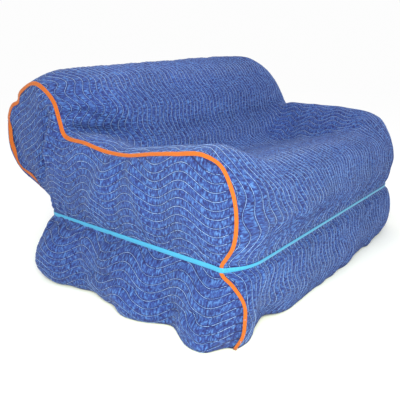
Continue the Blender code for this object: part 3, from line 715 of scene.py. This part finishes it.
def endShape(seam, marks, outward, seed):
    seam = insetSeam(seam)
    hemFront, lowFront, highFront, highRear, lowRear, hemRear = marks
    shoulder = round((highRear - highFront) * 8 / 46)
    top = seam[highFront + shoulder : highRear - shoulder + 1]
    count = len(top)
    backFoot = nearLine[backFirst, 0] if outward < 0 else farLine[backFirst, 0]
    junction = float(np.argmax(top[:, 1] > backFoot - 0.01))
    knots = np.array([0.0, junction, count - 1.0])
    share = spline(knots, np.array([[0.0], [cover["backShare"]], [1.0]]), np.arange(count, dtype=float))
    waists = []
    for front, rear in ((lowFront, lowRear), (highFront, highRear)):
        waist = seam[front] + (seam[rear] - seam[front]) * share
        turn = smoothStep((share[:, 0] - 0.87) / 0.13) ** 2
        waist[:, 0] = seam[front, 0] + (seam[rear, 0] - seam[front, 0]) * turn
        waists.append(waist)
    hem = seam[hemFront] + (seam[hemRear] - seam[hemFront]) * share
    depths, flares = np.array(hemFlare).T
    still = smoothStep(share[:, 0] / 0.05) * smoothStep((1.0 - share[:, 0]) / 0.08)
    hem[:, 0] += outward * spline(depths, flares[:, None], hem[:, 1])[:, 0] * still
    lower = coons(hem, waists[0], seam[hemFront : lowFront + 1], seam[lowRear : hemRear + 1][::-1])
    left = seam[highFront : highFront + shoulder + 1]
    right = seam[highRear - shoulder : highRear + 1][::-1]
    upper = coons(waists[1], top, left, right)
    lower[..., 0] += outward * cover["skirtBulge"] * dome(lower, 0.9, 0.7)
    rolled = seam[(seam[:, 1] > 1.10) & (seam[:, 2] > 0.39)]
    away = np.linalg.norm(upper[:, :, None, 1:] - rolled[None, None, ::3, 1:], axis=-1).min(axis=-1)
    flatRim = smoothStep((away - 0.042) / 0.09)
    upper[..., 0] += outward * cover["armBulge"] * dome(upper, 0.5, 0.8) * flatRim
    grid = np.concatenate([lower, upper])
    # row and column numbers as on the plain solid, which the masks are measured in
    rowNumber = np.concatenate([np.linspace(0, 6, len(lower)), np.linspace(7, 15, len(upper))])[:, None]
    columnNumber = np.linspace(0, 30, count)[None, :]
    fromEdge = np.minimum(np.minimum(columnNumber, 30 - columnNumber), 2 * (15 - rowNumber))
    inside = smoothStep(fromEdge / 4.0)
    fromWaist = np.maximum(np.maximum(6 - rowNumber, rowNumber - 7), 0.0)
    flat = grid.copy()
    flat[..., 0] = 0.0
    grid[..., 0] += outward * foldHeight(flat, endFolds) * smoothStep(fromWaist / 3.0) * inside
    normal = normalsOf(grid)
    side = np.sign(outward * normal[len(grid) // 2, count // 2, 0])
    normal = normal * side
    # the end is cut flat, so its lines run level, and slant where the cloth is pulled round the back's end
    y, z = grid[..., 1], grid[..., 2]
    slant = 0.62 * 0.05 * np.logaddexp(0.0, (y - 0.95) / 0.05) * smoothStep((z - 0.27) / 0.15)
    turns = (y - quilt["endWaveCrest"]) / quilt["endWavePeriod"]
    reach = quilt["endWaveReach"] * (1.0 - 0.65 * smoothStep((y - 0.85) / 0.12))
    lineOf = (z + slant - reach * np.cos(2.0 * math.pi * turns)) / quilt["channel"]
    fromStrap = z - (cover["waistLow"] + cover["waistHigh"]) / 2.0
    nearEdge = smoothStep(fromEdge / 1.2)
    rim = smoothStep(fromEdge / 0.9) * smoothStep(fromWaist)
    extra = foldHeight(flat, endPuckers) * rim
    slow = unevenness(y, z, (0.09, 0.14, 0.23), seed)
    extra = extra + quilt["uneven"] * slow * inside * smoothStep(fromWaist / 2.0)
    extra = extra + quilt["gatherRise"] * gathers(y, fromStrap, seed + 1) * nearEdge
    grid = grid + normal * extra[..., None]
    normal = normalsOf(grid) * side
    fromHem = np.linalg.norm(grid - grid[0], axis=-1)
    shape = puffed(grid, normal, lineOf, fromStrap, fromHem, smoothStep(fromEdge / 0.6 - 0.3))
    flat = np.stack([y + 3.0, lineOf * quilt["channel"]], axis=-1)
    shape.update(flat=flat, marks=(lowFront, lowFront + 1))
    return shape


clothMaterial = quiltedCloth()
tapeMaterial = wovenTape("bindingTape", "#b75c14", "#8e3e0a", 0.0018, 0.75, 0.15)
webMaterial = wovenTape("strapWebbing", "#3b97c6", "#2470a0", 0.0022, 0.65, 0.2)
threadMaterial = sewingThread("quiltingThread", "#82a3e2", "#5074ba")
tapeThread = sewingThread("tapeThread", "#b25a10", "#8c4008")

body = bodyShape()
bodyPanel = clothSheet("bodyPanelCloth", body["outer"], body["inner"], body["flat"], clothMaterial)
print("body panel:", len(bodyPanel.data.polygons), "faces")

ends = []
for label, column, outward, seed in (("Left", 0, -1.0, 31), ("Right", -1, 1.0, 47)):
    shape = endShape(body["outer"][:, column], body["marks"], outward, seed)
    name = "endPanel" + label
    shape["piece"] = clothSheet(name, shape["outer"], shape["inner"], shape["flat"], clothMaterial)
    ends.append(shape)
    print("end panel", label + ":", len(shape["piece"].data.polygons), "faces")


tape = {
    "width": 0.0165,
    "tighter": 0.0042,
    "wider": 0.0025,
    "thick": 0.0018,
    "bodyShare": 0.34,
    "rolled": 0.20,
    "tilt": 0.008,
    "leavesEdge": -0.11,
    "goesBehind": 0.255,
    "gap": 0.0009,
    "ripple": 0.0004,
    # behind the roll, by distance past its rearmost point: where the tape moves in to the seam and out again
    # and over how far, and how far its two edges are from the seam, with their change at each
    "movesIn": (0.02, 0.10),
    "movesOut": (0.13, 0.08),
    "outerEdge": (0.018, -0.016, 0.009),
    "innerEdge": (0.038, -0.027, 0.018),
    "onRear": (0.009, 0.001),
    "onFarEnd": (0.001, 0.0085),
}


def ringOf(grid):
    # The grid's left, top and right edges as one line, in the seam's order
    return np.concatenate([grid[:-1, 0], grid[-1], grid[:-1, -1][::-1]])


def besideSeam(grid, step):
    moved = grid.copy()
    moved[:, 0], moved[:, -1] = grid[:, step], grid[:, -1 - step]
    moved[-1, step:-step] = grid[-1 - step, step:-step]
    moved[-1, :step], moved[-1, -step:] = grid[-1 - step, step], grid[-1 - step, -1 - step]
    return moved


def smoothed(line, times):
    for turn in range(times):
        line[1:-1] = (line[:-2] + 2.0 * line[1:-1] + line[2:]) / 4.0
    return line


def tapeReaches(seam):
    # Drawn tight up the front, wider round the roll, and turned towards the end at the rear
    front = 1.0 - smoothStep((seam[:, 1:2] - 0.08) / 0.12)
    roll = smoothStep((seam[:, 1:2] - 0.72) / 0.12) * (1.0 - smoothStep((seam[:, 1:2] - 1.0) / 0.08))
    rear = smoothStep((seam[:, 1:2] - 1.04) / 0.10)
    width = tape["width"] - tape["tighter"] * front + tape["wider"] * roll
    onBody = width * (tape["bodyShare"] - tape["rolled"] * rear)
    return onBody, width - onBody - cover["wall"] - cover["seamGap"]


def flatTape(edge, inward, lift, start, end, tilt, ripple):
    # Tape flat beside the seam on one panel; tilt lets its first edge stand off
    ring = (
        (0.0, 0.0), (0.0, 0.75), (0.05, 1.0), (0.25, 1.06), (0.42, 1.06), (0.5, 1.06), (0.58, 1.06),
        (0.75, 1.06), (0.95, 1.0), (1.0, 0.75), (1.0, 0.0), (0.66, 0.0), (0.33, 0.0),
    )
    rings = []
    for part, rise in ring:
        high = tape["gap"] + tape["thick"] * rise + ripple
        rings.append(edge + inward * (start + (end - start) * part) + lift * high + tilt * (1.0 - part))
    return np.stack(rings, axis=1)


def bindingFrames(shape, column, neighbour, outward):
    seam, edge = body["outer"][:, column], ringOf(shape["outer"])
    along = unit(np.gradient(seam, axis=0))
    over = unit(smoothed(unit(body["outer"][:, neighbour] - seam), 6))
    under = unit(ringOf(besideSeam(shape["outer"], 3)) - edge)
    under = unit(smoothed(unit(under - along * np.sum(under * along, axis=1, keepdims=True)), 12))
    endNormal = ringOf(shape["normal"])
    bodyLift = unit(np.cross(along, over))
    bodyLift *= np.sign(np.sum(bodyLift * body["normal"][:, column], axis=1, keepdims=True))
    endLift = unit(np.cross(along, under))
    endLift *= np.sign(np.sum(endLift * endNormal, axis=1, keepdims=True))
    bodyLift, endLift = unit(smoothed(bodyLift, 6)), unit(smoothed(endLift, 12))
    corner = unit(bodyLift + endLift)
    spread = 1.0 / np.maximum(np.sum(corner * bodyLift, axis=1, keepdims=True), 0.6)
    bodyReach, endReach = tapeReaches(seam)
    length = lengthsAlong(seam)
    ripple = tape["ripple"] * unevenness(length, 0.0 * length, (0.03, 0.05, 0.11), 3)[:, None]
    rings, flat = [], []
    profile = ((0.0, 0.10), (0.0, 0.75), (0.05, 1.0), (0.5, 1.06), (1.0, 1.0))
    for part, rise in profile:
        gap = tape["gap"] + tape["thick"] * rise + ripple
        rings.append(seam + over * bodyReach * (1.0 - part * 0.9) + bodyLift * gap)
        flat.append(0.007 * part)
    gap = (tape["gap"] + tape["thick"] + ripple) * spread
    rings.append(seam + corner * gap * 0.94)
    flat.append(0.0077)
    for part, rise in profile[::-1]:
        gap = tape["gap"] + tape["thick"] * rise + ripple
        rings.append(edge + under * endReach * (1.0 - part * 0.9) + endLift * gap)
        flat.append(0.0084 + 0.009 * (1.0 - part))
    rings.append(edge + endLift * tape["gap"] * 0.5)
    flat.append(0.012)
    rings.append(seam + corner * tape["gap"] * 0.5)
    flat.append(0.010)
    frames = np.stack(rings, axis=1)
    if outward > 0:
        frames = flatTape(edge, under, endLift, *tape["onFarEnd"], 0.0, ripple)
    else:
        # below the roll's rear it lies on the end panel, and lower down behind the edge
        turned = length - length[np.argmax(seam[:, 1])]
        onEnd = smoothStep((turned - tape["leavesEdge"]) / 0.05)[:, None, None]
        behind = smoothStep((turned - tape["goesBehind"]) / 0.008)[:, None, None]
        movedIn, movedOut = (
            smoothStep((turned - at) / span)[:, None] for at, span in (tape["movesIn"], tape["movesOut"])
        )
        tilt = tape["tilt"] * (1.0 - movedIn) * np.array((outward, 0.0, 0.0))
        start, end = (a + b * movedIn + c * movedOut for a, b, c in (tape["outerEdge"], tape["innerEdge"]))
        onRoll = flatTape(edge, under, endLift, start, end, tilt, ripple)
        frames = frames + (onRoll - frames) * onEnd
        onRear = flatTape(seam, over, bodyLift, *tape["onRear"], 0.0, ripple)
        frames = frames + (onRear - frames) * behind
    across = np.broadcast_to(np.array(flat), frames.shape[:2])
    return frames, np.stack([np.broadcast_to(length[:, None], frames.shape[:2]), across], axis=-1)


tapes = []
tapeSides = (("Left", ends[0], 0, 2, -1.0), ("Right", ends[1], -1, -3, 1.0))
for label, shape, column, neighbour, outward in tapeSides:
    frames, flat = bindingFrames(shape, column, neighbour, outward)
    piece = band("bindingTape" + label, frames, flat, tapeMaterial, closed=False)
    tapes.append({"frames": frames, "piece": piece})
print("binding tapes:", [len(t["piece"].data.polygons) for t in tapes])


strap = {
    "width": 0.0170,
    "frontWidth": 0.0112,
    "thick": 0.0022,
    "gap": 0.0008,
    "lapAt": 1.128,
    "lapLength": 0.05,
    "lapGap": 0.0002,
}


def farther(pair):
    away = np.linalg.norm(pair[..., :2] - (cover["width"] / 2.0, 0.52), axis=-1)
    return np.where((away[0] > away[1])[:, None], pair[0], pair[1])[:, :2]


def strapPath():
    # Plan line of the waist: front, far end, rear and near end, over both tapes
    marks = body["marks"]
    clear = body["across"] > 0.010
    front = farther(body["outer"][marks[1] : marks[2] + 1][:, clear])
    rear = farther(body["outer"][marks[3] : marks[4] + 1][:, clear])[::-1]
    lines = []
    for shape in ends:
        row = shape["marks"][0]
        line = farther(shape["outer"][row : row + 2])
        first, last = line[0], line[-1]
        inside = np.minimum(np.linalg.norm(line - first, axis=1), np.linalg.norm(line - last, axis=1)) > 0.012
        lines.append(line[inside])
    corners = []
    for which, row, order in ((1, marks[1], 1), (1, marks[3], -1), (0, marks[3], 1), (0, marks[1], -1)):
        points = farther(tapes[which]["frames"][row : row + 2, 1:10])
        corners.append(points[::order])
    return [front, corners[0], lines[1], corners[1], rear, corners[2], lines[0][::-1], corners[3]]


def evenLine(path, pitch):
    closed = np.vstack([path, path[:1]])
    length = lengthsAlong(closed)
    places = np.linspace(0.0, length[-1], round(length[-1] / pitch) + 1)[:-1]
    return np.column_stack([np.interp(places, length, closed[:, i]) for i in range(2)]), places


def tightLine(path):
    # A pulled strap bridges hollows, so the line is smoothed and then pushed out to clear the cloth
    line = path.copy()
    for turn in range(10):
        before, after = np.roll(line, 1, axis=0), np.roll(line, -1, axis=0)
        line = (before + 2.0 * line + after) / 4.0
    ahead = unit(np.roll(line, -1, axis=0) - np.roll(line, 1, axis=0))
    outward = np.column_stack([ahead[:, 1], -ahead[:, 0]])
    short = np.maximum(np.sum((path - line) * outward, axis=1), 0.0)
    for turn in range(3):
        short = np.maximum(short, (np.roll(short, 1) + np.roll(short, -1)) / 2.0)
    return line + outward * short[:, None], outward


path, places = evenLine(np.concatenate(strapPath()), 0.007)
path, outward = tightLine(path)
strapMiddle = (cover["waistLow"] + cover["waistHigh"]) / 2.0


def webbing(name, line, outward, places, lift, thick, closed):
    # Flat webbing with rounded edges, standing on its edge round the cover
    onFront = smoothStep((line[:, 0] + 0.01) / 0.09) * (1.0 - smoothStep((line[:, 1] - 0.10) / 0.15))
    half = (strap["width"] + (strap["frontWidth"] - strap["width"]) * onFront) / 2.0
    soft = thick * 0.3
    ring = (
        (0.0, -1, 1), (0.0, 1, 1), (soft, 1, 0), (thick - soft, 1, 0),
        (thick, 1, 1), (thick * 1.04, 0, 0), (thick, -1, 1), (thick - soft, -1, 0), (soft, -1, 0),
    )
    frames = np.empty((len(line), len(ring), 3))
    flat = np.empty((len(line), len(ring), 2))
    for i, (out, side, inset) in enumerate(ring):
        up = side * (half - inset * soft)
        frames[:, i, :2] = line + outward * (lift + out)
        frames[:, i, 2] = strapMiddle + up
        flat[:, i, 0], flat[:, i, 1] = places, up
    return band(name, frames, flat, webMaterial, closed)


strapPiece = webbing("waistStrap", path, outward, places, strap["gap"], strap["thick"], True)
lap = (path[:, 1] < 0.2) & (np.abs(path[:, 0] - strap["lapAt"]) < strap["lapLength"] / 2.0)
lapLift = strap["gap"] + strap["thick"] + strap["lapGap"]
lapPiece = webbing("strapLap", path[lap], outward[lap], places[lap], lapLift, strap["thick"], False)
print("strap:", len(strapPiece.data.polygons), "faces")


# Real stitches are about 5 mm long in 0.5 mm thread, drawn longer and thicker so that they show
# Each row holds the pitch, the length and the thread's radius
quiltStitch = (0.0144, 0.0136, 0.0009)
tapeStitch = (0.0075, 0.0050, 0.0005)


def levelPaths(grid, lines, normal, lift, skip):
    # Lines over the cloth where its channel number is whole, one point to each line of the grid
    paths = []
    rowsOf = np.arange(len(grid), dtype=float)
    columns = grid.shape[1]
    for number in range(math.ceil(lines.min()), math.floor(lines.max()) + 1):
        run = []
        for c in range(skip, columns - skip):
            column = lines[:, c]
            at = None
            if column[0] < number < column[-1]:
                at = float(np.interp(number, column, rowsOf))
            if at is None:
                if len(run) > 2:
                    paths.append(np.array(run))
                run = []
                continue
            r = min(int(at), len(grid) - 2)
            part = at - r
            point = grid[r, c] * (1 - part) + grid[r + 1, c] * part
            off = normal[r, c] * (1 - part) + normal[r + 1, c] * part
            run.append(point + off * lift)
        if len(run) > 2:
            paths.append(np.array(run))
    return paths


def stitchTree():
    # Paths in, stitches out: one short rod for each step along a path
    tree = bpy.data.node_groups.new("sewnRun", "GeometryNodeTree")
    face = tree.interface
    face.new_socket("Paths", in_out="INPUT", socket_type="NodeSocketGeometry")
    for name in ("Stitch Pitch", "Stitch Length", "Thread Radius"):
        face.new_socket(name, in_out="INPUT", socket_type="NodeSocketFloat")
    face.new_socket("Thread", in_out="INPUT", socket_type="NodeSocketMaterial")
    face.new_socket("Stitches", in_out="OUTPUT", socket_type="NodeSocketGeometry")
    given = tree.nodes.new("NodeGroupInput")
    curve = addNode(tree, "GeometryNodeMeshToCurve", links={"Mesh": given.outputs["Paths"]})
    even = addNode(
        tree,
        "GeometryNodeResampleCurve",
        {"mode": "LENGTH"},
        links={"Curve": curve, "Length": given.outputs["Stitch Pitch"]},
    )
    tangent = addNode(tree, "GeometryNodeInputTangent")
    turn = addNode(tree, "FunctionNodeAlignRotationToVector", {"axis": "Z"}, links={"Vector": tangent})
    rod = addNode(
        tree,
        "GeometryNodeMeshCylinder",
        inputs={"Vertices": 4},
        links={"Radius": given.outputs["Thread Radius"], "Depth": given.outputs["Stitch Length"]},
    )
    placed = addNode(
        tree, "GeometryNodeInstanceOnPoints", links={"Points": even, "Instance": rod, "Rotation": turn}
    )
    real = addNode(tree, "GeometryNodeRealizeInstances", links={"Geometry": placed})
    finish = addNode(
        tree, "GeometryNodeSetMaterial", links={"Geometry": real, "Material": given.outputs["Thread"]}
    )
    result = tree.nodes.new("NodeGroupOutput")
    tree.links.new(finish.outputs["Geometry"], result.inputs["Stitches"])
    return tree


sewnRun = stitchTree()


def sewn(name, paths, pitch, length, radius, thread):
    # Runs the stitch tree over some paths and keeps its result as a plain mesh
    points, edges, start = [], [], 0
    for run in paths:
        points.extend((run + cover["place"]).tolist())
        edges.extend((start + i, start + i + 1) for i in range(len(run) - 1))
        start += len(run)
    mesh = bpy.data.meshes.new(name + "Paths")
    mesh.from_pydata(points, edges, [])
    guide = inScene(name + "Paths", mesh)
    modifier = guide.modifiers.new("sewnRun", "NODES")
    modifier.node_group = sewnRun
    given = {"Stitch Pitch": pitch, "Stitch Length": length, "Thread Radius": radius, "Thread": thread}
    for item in sewnRun.interface.items_tree:
        if item.in_out == "INPUT" and item.name in given:
            modifier[item.identifier] = given[item.name]
    guide.update_tag()
    seen = guide.evaluated_get(bpy.context.evaluated_depsgraph_get())
    plain = bpy.data.meshes.new_from_object(seen)
    bpy.data.objects.remove(guide)
    plain.name = name
    plain.shade_smooth()
    print(name + ":", len(plain.polygons), "faces")
    return inScene(name, plain)


bodyAcross = body["outer"].swapaxes(0, 1), body["lines"].T, body["normal"].swapaxes(0, 1)
bodyPaths = levelPaths(*bodyAcross, 0.0003, 2)
stitchPieces = [(sewn("bodyStitches", bodyPaths, *quiltStitch, threadMaterial), "quilted_cloth")]
for label, shape in (("Left", ends[0]), ("Right", ends[1])):
    paths = levelPaths(shape["outer"], shape["lines"], shape["normal"], 0.0003, 2)
    stitchPieces.append((sewn("endStitches" + label, paths, *quiltStitch, threadMaterial), "quilted_cloth"))
for label, made in (("Left", tapes[0]), ("Right", tapes[1])):
    frames = made["frames"]
    paths = [frames[:, 2] * 0.6 + frames[:, 3] * 0.4, frames[:, 8] * 0.6 + frames[:, 7] * 0.4]
    stitchPieces.append((sewn("tapeStitches" + label, paths, *tapeStitch, tapeThread), "binding_tape"))

dressed = [
    (bodyPanel, "body_panel", "quilted_cloth"),
    (ends[0]["piece"], "end_panel_left", "quilted_cloth"),
    (ends[1]["piece"], "end_panel_right", "quilted_cloth"),
    (tapes[0]["piece"], "binding_left", "binding_tape"),
    (tapes[1]["piece"], "binding_right", "binding_tape"),
    (strapPiece, "strap", "strap_webbing"),
]
for piece, node, slot in dressed:
    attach(piece, "root")
    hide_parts(node)
for piece, slot in [(lapPiece, "strap_webbing")] + stitchPieces:
    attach(piece, "root")

studio = {
    "eye": (-1.80406, -1.35520, 0.86444),
    "look": (0.7406, 0.6132, -0.2748),
    "lens": 40.86,
    "key": (-1.9, -1.5, 1.2),
    "keySize": 0.6,
    "keyPower": 58.0,
    "keyColour": (0.93, 1.0, 0.76),
    "fill": (-3.2, 0.8, 2.4),
    "fillSize": 2.0,
    "fillPower": 6.0,
    "overSeat": (-0.35, -0.35, 2.0),
    "overSeatSize": 0.8,
    "overSeatPower": 8.0,
    "skyStrength": 0.98,
}

bpy.ops.mesh.primitive_plane_add(size=30.0, location=(0.0, 0.0, -0.0005))
floor = bpy.context.active_object
floor.name = "studioFloor"
paper = {"Base Color": linear("#ffffff"), "Roughness": 0.9, "Specular IOR Level": 0.0}
floor.data.materials.append(startMaterial("studioPaper", paper)[0])


def softbox(name, where, size, power, colour):
    light = bpy.data.lights.new(name, "AREA")
    light.shape, light.size, light.energy, light.color = "SQUARE", size, power, colour
    made = inScene(name, light)
    made.location = where
    made.rotation_euler = (Vector((0.0, 0.0, 0.35)) - Vector(where)).to_track_quat("-Z", "Y").to_euler()
    return made


white = (1.0, 1.0, 1.0)
for label, colour in (("key", studio["keyColour"]), ("fill", white), ("overSeat", white)):
    softbox(label + "Light", studio[label], studio[label + "Size"], studio[label + "Power"], colour)
world = bpy.data.worlds.new("studioSky")
world.use_nodes = True
sky = world.node_tree.nodes["Background"].inputs
sky["Color"].default_value = (1.0, 1.0, 1.0, 1.0)
sky["Strength"].default_value = studio["skyStrength"]
bpy.context.scene.world = world
bpy.context.scene.view_settings.view_transform = "Standard"  # keeps the tape and strap as vivid as they are

lens = bpy.data.cameras.new("photoCamera")
lens.lens, lens.sensor_width, lens.clip_start, lens.clip_end = studio["lens"], 36.0, 0.05, 60.0
camera = inScene("photoCamera", lens)
camera.location = studio["eye"]
camera.rotation_euler = Vector(studio["look"]).to_track_quat("-Z", "Y").to_euler()
bpy.context.scene.camera = camera

print("cover dressed")
